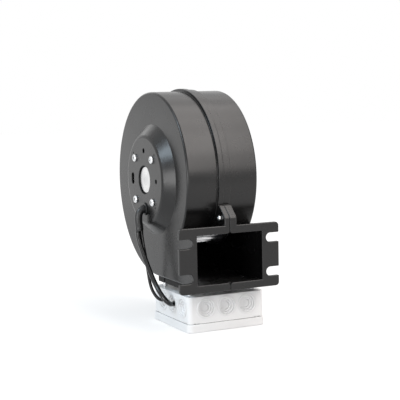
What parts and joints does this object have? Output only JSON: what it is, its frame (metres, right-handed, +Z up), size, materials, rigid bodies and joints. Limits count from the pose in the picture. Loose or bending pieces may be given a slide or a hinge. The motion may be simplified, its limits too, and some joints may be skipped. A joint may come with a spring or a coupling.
{
  "type": "centrifugal blower",
  "caption": "Single-inlet centrifugal blower: external-rotor motor in a split scroll housing, slotted outlet flange, square junction box below.",
  "frame": {"origin": "on the face that the junction box rests on, in the housing's split plane and at the middle of the box's depth", "axes": "+X along the spin axis from the motor side to the inlet side, -Y the way the outlet blows, +Z up"},
  "size_m": [0.1378, 0.2396, 0.2898],
  "materials": {
    "housing_black": "satin moulded, fine grain",
    "zinc_plated": "bright zinc plate",
    "galvanised_sheet": "galvanised sheet",
    "cast_aluminium": "turned",
    "core_steel": "stacked laminations",
    "copper_wire": "enamelled copper",
    "circuit_board": "solder mask",
    "bearing_steel": "ground",
    "cage_brass": "pressed",
    "magnet_dark": "ferrite",
    "cable_black": "smooth jacket",
    "box_grey": "light grey moulded",
    "membrane_grey": "soft, light grey",
    "gasket_grey": "foamed",
    "bracket_black": "powder coated"
  },
  "bodies": {
    "housing": {"motor_side_housing": "housing_black", "inlet_side_housing": "housing_black", "seam_screws": "zinc_plated", "seam_nuts": "zinc_plated", "inlet_nozzle": "galvanised_sheet", "nozzle_screws": "zinc_plated", "stator_flange": "cast_aluminium", "motor_mount_screws": "zinc_plated", "stator_core": "core_steel", "stator_windings": "copper_wire", "motor_circuit_board": "circuit_board", "bearing_outer_races": "bearing_steel", "bearing_spacer": "cast_aluminium", "wave_washer": "bearing_steel", "cable_grommet": "cable_black", "cable_sleeve": "cable_black", "motor_cable": "cable_black", "control_cable": "cable_black", "junction_box_base": "box_grey", "junction_box_lid": "box_grey", "junction_box_gasket": "gasket_grey", "lid_screws": "box_grey", "entry_membranes": "membrane_grey", "cable_entry_seals": "membrane_grey", "terminal_block": "box_grey", "terminal_screws": "zinc_plated", "box_bracket": "bracket_black", "box_standoffs": "zinc_plated", "box_screws": "zinc_plated", "bracket_screws": "zinc_plated"},
    "rotor": {"bearing_inner_races": "bearing_steel", "shaft_circlip": "bearing_steel", "motor_shaft": "bearing_steel", "rotor_can": "galvanised_sheet", "rotor_magnets": "magnet_dark", "impeller_backplate": "galvanised_sheet", "impeller_blades": "galvanised_sheet", "impeller_end_ring": "galvanised_sheet", "impeller_rivets": "galvanised_sheet"},
    "ball_sets": {"bearing_balls": "bearing_steel", "bearing_cages": "cage_brass"}
  },
  "joints": [
    {"name": "rotor_spin", "type": "hinge", "parent": "housing", "child": "rotor", "pos_m": [0, 0.0353, 0.1786], "axis": [1, 0, 0], "continuous": true},
    {"name": "ball_set_spin", "type": "hinge", "parent": "housing", "child": "ball_sets", "pos_m": [0, 0.0353, 0.1786], "axis": [1, 0, 0], "continuous": true}
  ],
  "couplings": [
    {"joint": "ball_set_spin", "follows": "rotor_spin", "ratio": 0.368}
  ]
}
